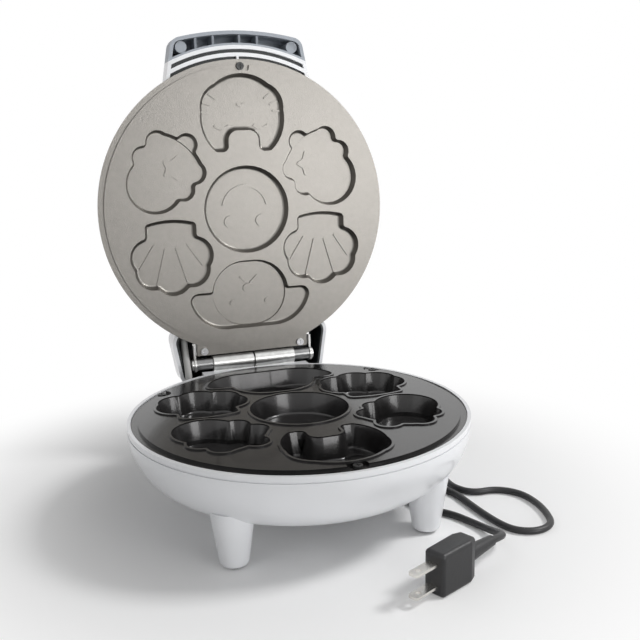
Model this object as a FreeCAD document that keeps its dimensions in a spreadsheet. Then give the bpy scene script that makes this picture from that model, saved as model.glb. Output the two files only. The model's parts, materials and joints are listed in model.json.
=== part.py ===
"""Seven-well cake maker with a hinged lid: a parametric FreeCAD document, in millimetres.

While it is built, +Z is up, the floor is z = 0, the base's axis is x = y = 0 and the hinge is at +Y. The last
step moves every piece along Y, so that the origin lies under the middle of the open maker.
Every piece of the lid is built in the closed position and then turned open about the hinge pin.
"""
import FreeCAD
import Part
import Sketcher
import math
import os

Vector = FreeCAD.Vector
doc = FreeCAD.newDocument("CakeMaker")

# ---------------------------------------------------------------- driving dimensions
SIZES = [
    ("face_z", 67.0, "height of the lower plate's face above the floor"),
    ("plate_gap", 1.2, "gap between the two faces when the lid is shut"),
    ("plate_r", 105.0, "outer radius of both plates' flanges"),
    ("disc_r", 101.0, "radius of the raised face of both plates"),
    ("flange_drop", 1.8, "step from the face down to the flange"),
    ("flange_thick", 2.2, "thickness of the flange"),
    ("well_deep", 13.5, "depth of the lower plate's wells"),
    ("well_shallow", 5.5, "depth of the upper plate's wells"),
    ("well_wall", 2.0, "metal left round and under a well"),
    ("lip_high", 0.8, "height of the lip round each lower well"),
    ("lip_wide", 1.6, "width of that lip"),
    ("tab_r", 6.3, "radius of the notch round each plate screw"),
    ("screw_ring", 100.2, "distance of the plate screws from the axis"),
    ("screw_r", 1.45, "radius of a screw's shank"),
    ("screw_hole", 1.8, "radius of a clearance hole"),
    ("screw_pilot", 1.5, "radius of a tapped hole in plastic"),
    ("screw_long", 12.0, "length of a screw's shank"),
    ("leaf_screw_long", 7.0, "length of the hinge bracket's screws"),
    ("head_r", 2.7, "radius of a screw's head"),
    ("head_high", 1.6, "height of a screw's head"),
    ("rim_r", 107.5, "outer radius of the base's rim"),
    ("rim_drop", 1.1, "step from the plate's face down to the rim"),
    ("wall", 2.4, "thickness of the plastic walls"),
    ("ledge", 3.3, "width of the ledge that carries the lower plate"),
    ("bowl_top", 61.5, "height where the bowl starts to curve in"),
    ("bowl_corner", 39.0, "radius of the bowl's shoulder"),
    ("bowl_in", 26.9, "how far in from the rim the shoulder ends"),
    ("bowl_drop", 35.9, "how far below bowl_top the shoulder ends"),
    ("bowl_sag", 12.6, "drop from there to the middle of the bowl"),
    ("join_in", 0.75, "sideways share of the wall where the two arcs meet"),
    ("join_up", 2.28, "upward share of the wall where the two arcs meet"),
    ("groove_z", 61.8, "height of the groove round the base"),
    ("groove_high", 0.9, "height of that groove"),
    ("groove_deep", 0.8, "depth of that groove"),
    ("leg_place", 60.0, "distance of each leg from the two centre planes"),
    ("leg_top", 13.5, "radius of a leg where it meets the bowl"),
    ("leg_foot", 8.8, "radius of a leg at the bottom"),
    ("leg_high", 36.0, "height at which the leg's cone ends inside the bowl"),
    ("leg_round", 3.5, "rounding of a leg's lower edge"),
    ("pad_r", 4.6, "radius of the rubber foot"),
    ("pad_thick", 2.2, "thickness of the rubber foot"),
    ("pad_out", 1.0, "how far the rubber foot stands out of the leg"),
    ("boss_r", 4.0, "radius of a screw boss"),
    ("hinge_y", 111.5, "distance of the hinge pin behind the axis"),
    ("hinge_up", 4.0, "height of the hinge pin above the lower face"),
    ("lid_open", 92.0, "angle of the open lid from shut, in degrees"),
    ("pin_r", 2.5, "radius of the hinge pin"),
    ("pin_half", 47.0, "half length of the hinge pin"),
    ("pin_head", 4.2, "radius of the pin's head and clip"),
    ("pin_play", 0.05, "radial clearance of the pin in what turns on it"),
    ("barrel_r", 5.8, "outer radius of the hinge barrel"),
    ("barrel_half", 31.0, "half width of the hinge barrel"),
    ("barrel_slit", 1.2, "gap between the barrel's two knuckles"),
    ("collar_r", 4.6, "outer radius of the spacer collars"),
    ("steel", 1.5, "thickness of the hinge's steel"),
    ("ear_x", 45.0, "outer face of the lid bracket's ears"),
    ("ear_r", 5.5, "radius of the ears round the pin"),
    ("strap_front", 96.0, "front edge of the lid bracket's strap"),
    ("tongue_half", 42.0, "half width of the upper plate's hinge tongue"),
    ("tongue_gap", 0.7, "gap from the tongue to the barrel"),
    ("tongue_screw_x", 36.8, "distance of the tongue's screws from the middle"),
    ("tongue_screw_y", 101.9, "distance of the tongue's screws behind the axis"),
    ("block_half", 40.0, "half width of the base's hinge block"),
    ("block_back", 107.8, "rear face of the base's hinge block"),
    ("block_low", 44.0, "underside of the base's hinge block"),
    ("leaf_low", 46.0, "lower edge of the base bracket's leaf"),
    ("leaf_screw_x", 22.0, "distance of the leaf's screws from the middle"),
    ("leaf_screw_z", 53.0, "height of the leaf's screws"),
    ("stop_x", 35.5, "distance of the lid stops from the middle"),
    ("shell_r", 104.4, "outer radius of the lid's dome"),
    ("dome_start", 74.0, "height where the dome starts to curve in, lid shut"),
    ("dome_corner", 26.0, "radius of the dome's shoulder"),
    ("dome_in", 20.6, "how far in from shell_r the shoulder ends"),
    ("dome_rise", 25.4, "how far above dome_start the shoulder ends"),
    ("dome_crown", 8.8, "rise from there to the top of the lid"),
    ("dome_join_in", 0.5, "sideways share of the wall where the dome's arcs meet"),
    ("dome_join_up", 2.35, "upward share of the wall where the dome's arcs meet"),
    ("grip_root", 54.0, "half width of the handle where it leaves the dome"),
    ("grip_root_y", 80.0, "distance of that place in front of the axis"),
    ("grip_half", 46.9, "half width of the handle at its front corners"),
    ("grip_corner_y", 118.7, "distance of those corners in front of the axis"),
    ("grip_front", 124.5, "distance of the handle's front in front of the axis"),
    ("grip_turn", 8.0, "radius of the handle's front corners"),
    ("grip_round", 7.0, "rounding of the handle's top"),
    ("grip_top", 94.0, "height of the handle's top, lid shut"),
    ("fin_one_in", 107.1, "inner radius of the first fin in the handle"),
    ("fin_one_out", 109.7, "outer radius of the first fin"),
    ("fin_two_in", 112.2, "inner radius of the second fin"),
    ("fin_two_out", 114.8, "outer radius of the second fin"),
    ("liner_drop", 3.0, "how far the black strips sit behind the fins' edges"),
    ("rib_thick", 1.6, "thickness of the handle's ribs"),
    ("rib_drop", 5.0, "how far the ribs sit behind the handle's edge"),
    ("hood_root", 61.0, "half width of the hinge hood where it leaves the dome"),
    ("hood_root_y", 85.0, "distance of that place behind the axis"),
    ("hood_half", 53.8, "half width of the hinge hood at its back"),
    ("hood_round", 8.0, "rounding of the hood's top"),
    ("liner_thick", 1.5, "thickness of the hood's black liner"),
    ("hood_back", 128.0, "rear face of the hinge hood"),
    ("hood_top", 98.0, "height of the hinge hood, lid shut"),
    ("hood_turn", 10.0, "radius of the hood's rear corners"),
    ("element_r", 3.2, "radius of the heating element's tube"),
    ("element_ring", 58.0, "radius of the heating element's ring"),
    ("element_gap", 0.1, "gap between the element and the wells"),
    ("sheet_thick", 0.8, "thickness of the heat shields"),
    ("lower_shield_z", 44.1, "height of the lower heat shield"),
    ("lower_shield_r", 84.0, "radius of the lower heat shield"),
    ("upper_shield_z", 82.3, "height of the upper heat shield, lid shut"),
    ("upper_shield_r", 88.0, "radius of the upper heat shield"),
    ("shield_post", 70.0, "distance of the shields' screws from the axis"),
    ("lamp_r", 4.0, "radius of a lamp's lens"),
    ("lamp_x", 11.0, "distance of each lamp from the middle"),
    ("lamp_y", 72.0, "distance of the lamps in front of the axis"),
    ("cord_r", 2.2, "radius of the mains cord"),
    ("gland_x", 22.0, "distance of the cord's gland from the middle"),
    ("gland_z", 32.0, "height of the cord's gland"),
    ("gland_in", 80.0, "inner end of the gland"),
    ("gland_out", 111.0, "outer end of the gland"),
    ("gland_r", 5.5, "radius of the gland"),
    ("coil_mid", 24.0, "radius of the cord's coil at mid-turn"),
    ("coil_x", 95.0, "place of the coil beside the axis"),
    ("coil_y", 118.0, "place of the coil behind the axis"),
    ("coil_layers", 2.0, "turns on top of each other in the coil"),
    ("plug_x", 57.0, "place of the plug's rear end beside the axis"),
    ("plug_y", -117.9, "place of the plug's rear end, in front of the axis"),
    ("plug_turn", 205.0, "direction of the plug's blades from +X, in degrees"),
    ("plug_long", 30.0, "length of the plug's body"),
    ("plug_wide", 14.5, "width of the plug's body"),
    ("plug_high", 25.0, "height of the plug's body as it lies"),
    ("relief_long", 22.0, "length of the plug's strain relief"),
    ("blade_long", 17.5, "length of a plug blade outside the body"),
    ("blade_wide", 6.35, "width of a plug blade"),
    ("blade_thick", 1.5, "thickness of a plug blade"),
    ("blade_apart", 12.7, "distance between the plug's blades"),
]

sheet = doc.addObject("Spreadsheet::Sheet", "sheet")
for row, (alias, value, meaning) in enumerate(SIZES, start=1):
    sheet.set(f"A{row}", alias)
    sheet.set(f"B{row}", str(value))
    sheet.set(f"C{row}", meaning)
    sheet.setAlias(f"B{row}", alias)
doc.recompute()


def size(words):
    """Value of a sum of sheet cells and plain numbers, such as 'rim_r - wall'."""
    sign, total = 1.0, 0.0
    for word in words.split():
        if word in ("+", "-"):
            sign = 1.0 if word == "+" else -1.0
        elif word[0].isdigit():
            total += sign * float(word)
        else:
            total += sign * float(sheet.get(word))
    return total


def formula(words):
    """The same sum as an expression that FreeCAD keeps bound to the sheet."""
    return " ".join(word if word in "+-" or word[0].isdigit() else "sheet." + word for word in words.split())


def bind(item, **sums):
    """Tie properties of a document object to sums of sheet cells."""
    for name, words in sums.items():
        item.setExpression(name, formula(words))
    return item


def place(item, x="0", y="0", z="0", axis=None, angle=0.0):
    """Turn an object and tie its place to the sheet."""
    if axis:
        item.Placement.Rotation = FreeCAD.Rotation(axis, angle)
    item.setExpression("Placement.Base.x", formula(x))
    item.setExpression("Placement.Base.y", formula(y))
    item.setExpression("Placement.Base.z", formula(z))
    return item


# ---------------------------------------------------------------- primitives and booleans
X_AXIS, Y_AXIS, Z_AXIS = Vector(1, 0, 0), Vector(0, 1, 0), Vector(0, 0, 1)


def cylinder(name, radius, height, x="0", y="0", z="0", along="Z"):
    item = bind(doc.addObject("Part::Cylinder", name), Radius=radius, Height=height)
    turns = {"X": (Y_AXIS, 90), "Y": (X_AXIS, -90), "Z": (None, 0)}
    return place(item, x, y, z, *turns[along])


def cone(name, radius, end_radius, height, x="0", y="0", z="0", along="Z"):
    item = bind(doc.addObject("Part::Cone", name), Radius1=radius, Radius2=end_radius, Height=height)
    turns = {"X": (Y_AXIS, 90), "Y": (X_AXIS, -90), "Z": (None, 0)}
    return place(item, x, y, z, *turns[along])


def box(name, long, wide, high, x="0", y="0", z="0"):
    item = bind(doc.addObject("Part::Box", name), Length=long, Width=wide, Height=high)
    return place(item, x, y, z)


def cut(name, base, *tools):
    """base with every tool taken away."""
    item = doc.addObject("Part::Cut", name)
    item.Base = base
    item.Tool = tools[0] if len(tools) == 1 else fuse(name + "_tools", *tools)
    return item


def fuse(name, *pieces):
    item = doc.addObject("Part::MultiFuse", name)
    item.Shapes = list(pieces)
    item.Refine = True
    return item


def common(name, *pieces):
    item = doc.addObject("Part::MultiCommon", name)
    item.Shapes = list(pieces)
    return item


# ---------------------------------------------------------------- sketched bodies
def arc_radius(words, start, end):
    """Radius of an arc from its sum, or of the one centred on the vertical axis for the word 'axis'."""
    if words != "axis":
        return size(words)
    rise = end.y - start.y
    span = end.x ** 2 - start.x ** 2
    return math.hypot(start.x, (span + rise ** 2) / (2 * rise))


def sketch_on(body, plane, name, outline):
    """Closed outline on one of the body's origin planes, with every corner tied to the sheet.

    outline lists (x, y) sums; a third and fourth entry, a radius sum and a side of 1 or -1,
    make the stretch that ends there an arc (1 turns left on the way, -1 turns right); the word
    'axis' in place of the radius centres the arc on the vertical axis.
    """
    sketch = body.newObject("Sketcher::SketchObject", name)
    support = [item for item in body.Origin.OriginFeatures if item.Role == plane][0]
    sketch.AttachmentSupport = [(support, "")]
    sketch.MapMode = "FlatFace"
    corners = [Vector(size(corner[0]), size(corner[1]), 0) for corner in outline]
    for number, corner in enumerate(outline):
        start, end = corners[number - 1], corners[number]
        if len(corner) == 2:
            sketch.addGeometry(Part.LineSegment(start, end))
        else:
            radius, side = arc_radius(corner[2], start, end), corner[3]
            chord = end - start
            across = Vector(-chord.y, chord.x, 0).normalize() * side
            centre = (start + end) * 0.5 + across * math.sqrt(radius ** 2 - chord.Length ** 2 / 4)
            middle = centre - across * radius
            sketch.addGeometry(Part.Arc(start, middle, end))
    last = len(outline)
    ends = []
    for number, corner in enumerate(outline):
        geometry = sketch.Geometry[number]
        at_end = corners[number].distanceToPoint(geometry.EndPoint) < 1e-6
        ends.append((2, 1) if at_end else (1, 2))
    for number, corner in enumerate(outline):
        following = (number + 1) % last
        sketch.addConstraint(
            Sketcher.Constraint("Coincident", number, ends[number][0], following, ends[following][1]))
        for kind, words, value in (("DistanceX", corner[0], corners[number].x),
                                   ("DistanceY", corner[1], corners[number].y)):
            if words == "0":
                axis = -2 if kind == "DistanceX" else -1
                sketch.addConstraint(Sketcher.Constraint("PointOnObject", number, ends[number][0], axis))
            elif value > 0:
                index = sketch.addConstraint(
                    Sketcher.Constraint(kind, -1, 1, number, ends[number][0], value))
                sketch.setExpression(f"Constraints[{index}]", formula(words))
            else:
                index = sketch.addConstraint(
                    Sketcher.Constraint(kind, number, ends[number][0], -1, 1, -value))
                sketch.setExpression(f"Constraints[{index}]", f"0 mm - ({formula(words)}) * 1 mm")
        if len(corner) > 2:
            if corner[2] == "axis":
                sketch.addConstraint(Sketcher.Constraint("PointOnObject", number, 3, -2))
                continue
            index = sketch.addConstraint(Sketcher.Constraint("Radius", number, size(corner[2])))
            sketch.setExpression(f"Constraints[{index}]", formula(corner[2]))
    return sketch


def turned(name, outline):
    """Body turned about Z from a half outline given as (radius, height) sums."""
    body = doc.addObject("PartDesign::Body", name)
    sketch = sketch_on(body, "XZ_Plane", name + "_outline", outline)
    turn = body.newObject("PartDesign::Revolution", name + "_turn")
    turn.Profile = sketch
    turn.ReferenceAxis = (sketch, ["V_Axis"])
    turn.Angle = 360.0
    return body


def padded(name, outline, height, z="0", plane="XY_Plane"):
    """Body padded from an outline in plan; other planes pad along their own normal."""
    body = doc.addObject("PartDesign::Body", name)
    sketch = sketch_on(body, plane, name + "_outline", outline)
    pad = body.newObject("PartDesign::Pad", name + "_pad")
    pad.Profile = sketch
    bind(pad, Length=height)
    if plane == "XY_Plane":
        place(body, z=z)
    return body


def rounded(body, radius, edge_test):
    """Fillet, as the body's last feature, of the edges that edge_test picks."""
    doc.recompute()
    edges = [f"Edge{number}" for number, edge in enumerate(body.Tip.Shape.Edges, start=1) if edge_test(edge)]
    fillet = body.newObject("PartDesign::Fillet", body.Name + "_round")
    fillet.Base = (body.Tip, edges)
    bind(fillet, Radius=radius)
    return body


# ---------------------------------------------------------------- nodes and the lid's pose
nodes = []
HINGE = Vector(0, size("hinge_y"), size("face_z + hinge_up"))
lid_pose = FreeCAD.Placement(Vector(0, 0, 0), FreeCAD.Rotation(X_AXIS, -size("lid_open")), HINGE)


def node(item, label, lid=False):
    """Names a finished sub-part, and turns it open with the lid if it belongs to the lid."""
    item.Label = label
    if lid:
        item.Placement = lid_pose.multiply(item.Placement)
    nodes.append(item)
    return item


def shaped(name, shape):
    """Document object for a shape made with Part's own functions."""
    item = doc.addObject("Part::Feature", name)
    item.Shape = shape
    return item


# ---------------------------------------------------------------- outlines of the wells
def disc(x, y, radius):
    return Part.makeCylinder(radius, 1.0, Vector(x, y, 0))


def slab(low_x, low_y, high_x, high_y):
    return Part.makeBox(high_x - low_x, high_y - low_y, 1.0, Vector(low_x, low_y, 0))


def bar(start, end, width):
    """Straight stroke with round ends."""
    (x, y), (end_x, end_y) = start, end
    long = math.hypot(end_x - x, end_y - y)
    middle = slab(0, -width / 2, long, width / 2)
    middle.rotate(Vector(0, 0, 0), Z_AXIS, math.degrees(math.atan2(end_y - y, end_x - x)))
    middle.translate(Vector(x, y, 0))
    return middle.multiFuse([disc(x, y, width / 2), disc(end_x, end_y, width / 2)])


def arc_stroke(x, y, radius, width, first, last):
    """Stroke along a circle from the first to the last angle, in degrees."""
    ring = disc(x, y, radius + width / 2).cut(disc(x, y, radius - width / 2))
    reach = 2 * radius
    wedge = Part.makeCylinder(reach, 1.0, Vector(x, y, 0), Z_AXIS, last - first)
    wedge.rotate(Vector(x, y, 0), Z_AXIS, first)
    return ring.common(wedge)


def flat_face(slabs):
    """Union of slabs one millimetre thick, as the flat face in the plane z = 0."""
    union = slabs[0].multiFuse(slabs[1:]) if len(slabs) > 1 else slabs[0]
    union = union.removeSplitter()
    low = [face for face in union.Faces if abs(face.CenterOfMass.z) < 1e-6]
    return max(low, key=lambda face: face.Area)


def softened(face, inner, outer):
    """Rounds the inward corners of a face to one radius and its outward corners to another."""
    face = face.makeOffset2D(inner).makeOffset2D(-inner - outer).makeOffset2D(outer)
    return Part.Face(face.Wires[0])


def turned_about(shape, x, y, angle, mirror=False):
    """Moves a slab from local axes, whose +X points to the middle of the plate, to its place."""
    shape = shape.copy()
    if mirror:
        shape = shape.mirror(Vector(0, 0, 0), X_AXIS)
    shape.rotate(Vector(0, 0, 0), Z_AXIS, angle)
    shape.translate(Vector(x, y, 0))
    return shape


def cat_outline():
    """Broad head with two ears that point at the middle of the plate."""
    head = [disc(0, -64.5, 30.8), disc(-13, -72, 17.5), disc(13, -72, 17.5), slab(-13, -89.5, 13, -72)]
    head = head[0].multiFuse(head[1:])
    arch = disc(-4, -49, 7).multiFuse([disc(4, -49, 7), slab(-11, -49, 11, -30), slab(-4, -56, 4, -40)])
    ears = head.cut(arch).cut(slab(-40, -41.2, 40, -20))
    return softened(flat_face([ears]), 2.0, 4.2)


def cat_marks():
    """Closed eyes, nose and whiskers."""
    marks = [arc_stroke(side * 14.3, -65.5, 8.0, 1.7, 47, 133) for side in (-1, 1)]
    marks.append(arc_stroke(0, -76.0, 2.6, 1.5, 20, 160))
    for side in (-1, 1):
        marks.append(bar((side * 24.0, -69.4), (side * 29.0, -69.2), 1.4))
        marks.append(bar((side * 22.0, -74.0), (side * 27.0, -75.8), 1.4))
        marks.append(bar((side * 18.0, -78.4), (side * 22.3, -81.4), 1.4))
    return marks


def centre_outline():
    return flat_face([disc(0, 0, 31.4)])


def centre_marks():
    """A plain smile over two round eyes."""
    eyes = [disc(side * 11.8, 8.6, 4.3) for side in (-1, 1)]
    return eyes + [arc_stroke(0, -0.2, 16.6, 1.7, 190, 350)]


def puppy_head():
    """Wide round head."""
    return flat_face([disc(-4, 61.8, 25), disc(4, 61.8, 25), slab(-4, 36.8, 4, 86.8)])


def puppy_outline():
    """The head with two drooping ears, flat across the top of the head."""
    ears = [disc(side * 17.9, 58.5, 28.2) for side in (-1, 1)] + [slab(-17.9, 58.5, 17.9, 86.7)]
    ears = ears[0].multiFuse(ears[1:]).cut(slab(-60, 20, 60, 58.5))
    ears = softened(flat_face([ears]), 1.0, 6.4).extrude(Z_AXIS)
    head = puppy_head().extrude(Z_AXIS)
    return softened(flat_face([ears, head]), 1.6, 1.6)


def puppy_marks():
    """Nose, mouth and two small eyes."""
    marks = [disc(side * 13.2, 68.4, 1.8) for side in (-1, 1)]
    marks += [disc(-1.6, 57.8, 3.0), disc(1.6, 57.8, 3.0), slab(-1.6, 54.8, 1.6, 60.8)]
    marks += [bar((side * 1.2, 54.0), (side * 6.0, 49.6), 1.5) for side in (-1, 1)]
    return marks


CAP = {"x": 58.3, "y": -27.6, "angle": 49.0}


def cap_local(with_bump):
    """Scalloped cap in local axes: its top points along +X, towards the bump."""
    lobes = [disc(-9.7, 0, 20.4)]
    for side in (-1, 1):
        lobes += [disc(0, side * 17.6, 8.2), disc(14.3, side * 16.4, 8.5)]
    crown = disc(-11.9, 0, 38.5).common(slab(-8, -16.6, 40, 16.6))
    lobes.append(crown)
    if with_bump:
        lobes.append(disc(26.0, 0, 7.9))
    return lobes


def cap_outline(side, with_bump):
    """side is -1 for the well on the -X side and 1 for its mirror image."""
    angle = -CAP["angle"] if side < 0 else 180 + CAP["angle"]
    lobes = [turned_about(lobe, side * CAP["x"], CAP["y"], angle) for lobe in cap_local(with_bump)]
    return softened(flat_face(lobes), 2.2, 2.0)


def star_mark(side):
    """Five-pointed star with blunt points, one of them aimed across the plate."""
    x, y, outer, inner = side * 49.9, -31.0, 10.2, 6.0
    points = []
    for step in range(10):
        radius = outer if step % 2 == 0 else inner
        angle = math.radians(36 * step) + (math.pi if side > 0 else 0)
        points.append(Vector(x + radius * math.cos(angle), y + radius * math.sin(angle), 0))
    star = Part.Face(Part.makePolygon(points + points[:1]))
    return softened(star, 1.0, 1.3).extrude(Z_AXIS)


def scallop_outline(side):
    """Scallop shell with five lobes and a broad hinge end."""
    x = side * 56.0
    lobes = [disc(x, 30, 20), disc(x, 44.9, 13.8)]
    for half in (-1, 1):
        lobes += [disc(x + half * 15.8, 30.6, 14.0), disc(x + half * 13.8, 40.3, 13.3)]
    lobes.append(disc(x, 65.3, 61).common(slab(x - 18.3, 2, x + 18.3, 25)))
    return softened(flat_face(lobes), 2.4, 3.4)


def scallop_marks(side):
    """Four ribs that fan out from the hinge end."""
    x = side * 56.0
    marks = []
    for half in (-1, 1):
        marks.append(bar((x + half * 4.0, 25.5), (x + half * 11.0, 50.5), 1.4))
        marks.append(bar((x + half * 12.2, 23.0), (x + half * 22.5, 38.5), 1.4))
    return marks


def wells(depth):
    """(outline, floor outline or None, depth, marks) of the seven wells."""
    step = min(1.8, depth / 4)
    found = [(cat_outline(), None, cat_marks()), (centre_outline(), None, centre_marks()),
             (puppy_outline(), puppy_head(), puppy_marks())]
    for side in (-1, 1):
        found.append((cap_outline(side, True), cap_outline(side, False), [star_mark(side)]))
        found.append((scallop_outline(side), None, scallop_marks(side)))
    return [(outline, inner, depth - (step if inner else 0), depth, marks)
            for outline, inner, marks in found]


# ---------------------------------------------------------------- the two cooking plates
DRAFT_SHARE = 0.2        # inward slope of a well's wall, per millimetre of depth
MOUTH_OVER = 2.0         # how far a cavity's cutter stands above the face
MARK_HIGH = 0.9          # height of the marks on a well's floor
FLOOR_ROUND = 1.6        # rounding between a well's wall and floor


def tapered(face, depth, draft, round_edge=0.0):
    """Solid from a face at z = 0 down to -depth, drawn in by draft, with its lower edge rounded."""
    low = face.makeOffset2D(-draft)
    low_wire = low.Wires[0]
    low_wire.translate(Vector(0, 0, -depth))
    solid = Part.makeLoft([face.OuterWire, low_wire], True, True)
    if round_edge:
        bottom = [side for side in solid.Faces if abs(side.CenterOfMass.z + depth) < 1e-6][0]
        solid = solid.makeFillet(round_edge, bottom.Edges)
    return solid


def well_cavity(outline, inner, shallow, deep):
    """Space inside a well; a second, inner outline goes down to the full depth."""
    mouth = outline.extrude(Vector(0, 0, MOUTH_OVER))
    cavity = tapered(outline, shallow, shallow * DRAFT_SHARE + 0.9, min(FLOOR_ROUND, shallow / 4))
    if inner:
        inset = Part.Face(inner.makeOffset2D(-shallow * DRAFT_SHARE - 0.4).Wires[0])
        inset.translate(Vector(0, 0, 1.0 - shallow))
        well = tapered(Part.Face(inset.OuterWire).translated(Vector(0, 0, shallow - 1.0)),
                       deep - shallow + 1.0, 0.6)
        well.translate(Vector(0, 0, 1.0 - shallow))
        cavity = cavity.fuse(well)
    return cavity.fuse(mouth)


def well_block(outline, deep, wall):
    """Metal round a well, from the underside of the face to below the floor."""
    grown = Part.Face(outline.makeOffset2D(wall).Wires[0])
    block = tapered(grown, deep + wall, deep * DRAFT_SHARE + 0.9)
    return block


def plate_shape(depth, lip, screws, tongue=None):
    """Cooking plate with its face at z = 0 and its wells going down."""
    drop, thick = size("flange_drop"), size("flange_thick")
    plate = Part.makeCylinder(size("disc_r"), drop + thick, Vector(0, 0, -drop - thick))
    for x, y in screws:
        plate = plate.cut(Part.makeCylinder(size("tab_r"), drop + thick, Vector(x, y, -drop - thick)))
    flange = Part.makeCylinder(size("plate_r"), thick, Vector(0, 0, -drop - thick))
    plate = plate.fuse(flange)
    if tongue:
        half, back = tongue
        reach = back - size("disc_r") + 40.0
        plate = plate.fuse(Part.makeBox(2 * half, reach, thick, Vector(-half, back - reach, -drop - thick)))
    blocks, cavities, lips, marks = [], [], [], []
    for outline, inner, shallow, deep, strokes in wells(depth):
        blocks.append(well_block(outline, deep, size("well_wall")))
        cavities.append(well_cavity(outline, inner, shallow, deep))
        if lip:
            ring = Part.Face(outline.makeOffset2D(size("lip_wide")).Wires[0])
            ring.translate(Vector(0, 0, -1))
            lips.append(ring.extrude(Vector(0, 0, 1 + lip)))
        union = strokes[0].multiFuse(strokes[1:]) if len(strokes) > 1 else strokes[0]
        union.translate(Vector(0, 0, MARK_HIGH - 1.0 - deep))
        marks.append(union)
    plate = plate.multiFuse(blocks + lips)
    plate = plate.cut(cavities[0].multiFuse(cavities[1:]))
    plate = plate.multiFuse(marks)
    holes = [Part.makeCylinder(size("screw_hole"), 20, Vector(x, y, -10)) for x, y in screws]
    plate = plate.cut(holes[0].multiFuse(holes[1:]))
    return plate.removeSplitter().Solids[0]


def on_circle(radius, angle):
    """Point of a circle round the axis, the angle counted from +X in degrees."""
    return radius * math.cos(math.radians(angle)), radius * math.sin(math.radians(angle))


LOWER_SCREWS = [on_circle(size("screw_ring"), angle) for angle in (-90, 40, 140)]
UPPER_SCREWS = [(0.0, -size("screw_ring")), (-size("tongue_screw_x"), size("tongue_screw_y")),
                (size("tongue_screw_x"), size("tongue_screw_y"))]

lower = plate_shape(size("well_deep"), size("lip_high"), LOWER_SCREWS)
lower.translate(Vector(0, 0, size("face_z")))
node(shaped("lower_plate", lower), "lower_plate")

tongue_back = size("hinge_y - barrel_r - tongue_gap")
upper = plate_shape(size("well_shallow"), 0.0, UPPER_SCREWS, (size("tongue_half"), tongue_back))
upper = upper.mirror(Vector(0, 0, 0), Z_AXIS)
upper.translate(Vector(0, 0, size("face_z + plate_gap")))
node(shaped("upper_plate", upper), "upper_plate", lid=True)


# ---------------------------------------------------------------- screws
def screw(label, x, y, z, long="screw_long", down=True, lid=False):
    """Pan-head screw; z is where its head sits, and it points down or up."""
    head_z = z if down else f"{z} - head_high"
    shank_z = f"{z} - {long}" if down else z
    slot_z = f"{z} + 0.8" if down else f"{z} - head_high"
    body = fuse(label + "_solid", cylinder(label + "_head", "head_r", "head_high", x, y, head_z),
                cylinder(label + "_shank", "screw_r", long, x, y, shank_z))
    slots = [box(label + "_slot_x", "3.4", "0.7", "0.8", f"{x} - 1.7", f"{y} - 0.35", slot_z),
             box(label + "_slot_y", "0.7", "3.4", "0.8", f"{x} - 0.35", f"{y} - 1.7", slot_z)]
    return node(cut(label, body, *slots), label, lid)


def words(value):
    """A plain number as a sum the sheet helpers can read."""
    return f"{value:.4f}" if value >= 0 else f"- {-value:.4f}"


def side_words(side, name):
    """Plus or minus a cell's name."""
    return name if side > 0 else "- " + name


# ---------------------------------------------------------------- base shell
FLANGE_LOW = "face_z - flange_drop - flange_thick"
RIM_TOP = "face_z - rim_drop"
BOWL_LOW = "bowl_top - bowl_drop - bowl_sag"

bowl_solid = turned("bowl_solid", [
    ("0", BOWL_LOW),
    ("rim_r - bowl_in", "bowl_top - bowl_drop", "axis", 1),
    ("rim_r", "bowl_top", "bowl_corner", 1),
    ("rim_r", "groove_z"),
    ("rim_r - groove_deep", "groove_z"),
    ("rim_r - groove_deep", "groove_z + groove_high"),
    ("rim_r", "groove_z + groove_high"),
    ("rim_r", RIM_TOP),
    ("0", RIM_TOP)])
bowl_space = turned("bowl_space", [
    ("0", BOWL_LOW + " + wall"),
    ("rim_r - bowl_in - join_in", "bowl_top - bowl_drop + join_up", "axis", 1),
    ("rim_r - wall", "bowl_top", "bowl_corner - wall", 1),
    ("plate_r - ledge", "bowl_top"),
    ("plate_r - ledge", FLANGE_LOW),
    ("plate_r + 0.3", FLANGE_LOW),
    ("plate_r + 0.3", RIM_TOP + " + 1"),
    ("0", RIM_TOP + " + 1")])

legs, leg_spaces, pad_places = [], [], []
for number, (side_x, side_y) in enumerate(((-1, -1), (1, -1), (-1, 1), (1, 1)), start=1):
    leg = turned(f"leg_{number}", [
        ("0", "pad_out"),
        ("leg_foot - leg_round", "pad_out"),
        ("leg_foot", "pad_out + leg_round", "leg_round", 1),
        ("leg_top", "leg_high"),
        ("0", "leg_high")])
    x, y = side_words(side_x, "leg_place"), side_words(side_y, "leg_place")
    legs.append(place(leg, x, y))
    leg_spaces.append(cone(f"leg_space_{number}", "leg_foot - wall", "leg_top - wall",
                           "leg_high - pad_thick - wall", x, y, "pad_thick + wall"))
    leg_spaces.append(cylinder(f"pad_seat_{number}", "pad_r + 0.1", "pad_thick", x, y, "0"))
    pad_places.append((x, y))
hinge_block = box("hinge_block", "block_half + block_half", "block_back - 85",
                  RIM_TOP + " - block_low", "- block_half", "85", "block_low")
gland_hole = cylinder("gland_hole", "gland_r + 0.05", "25", "gland_x", "75", "gland_z", along="Y")
lead_hole = cylinder("lead_hole", "2.6", "16", "- 50", "84", "50", along="Y")
base_outer = fuse("base_outer", bowl_solid, hinge_block, *legs)
base_hollow = cut("base_hollow", base_outer, bowl_space, gland_hole, lead_hole, *leg_spaces)

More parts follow.
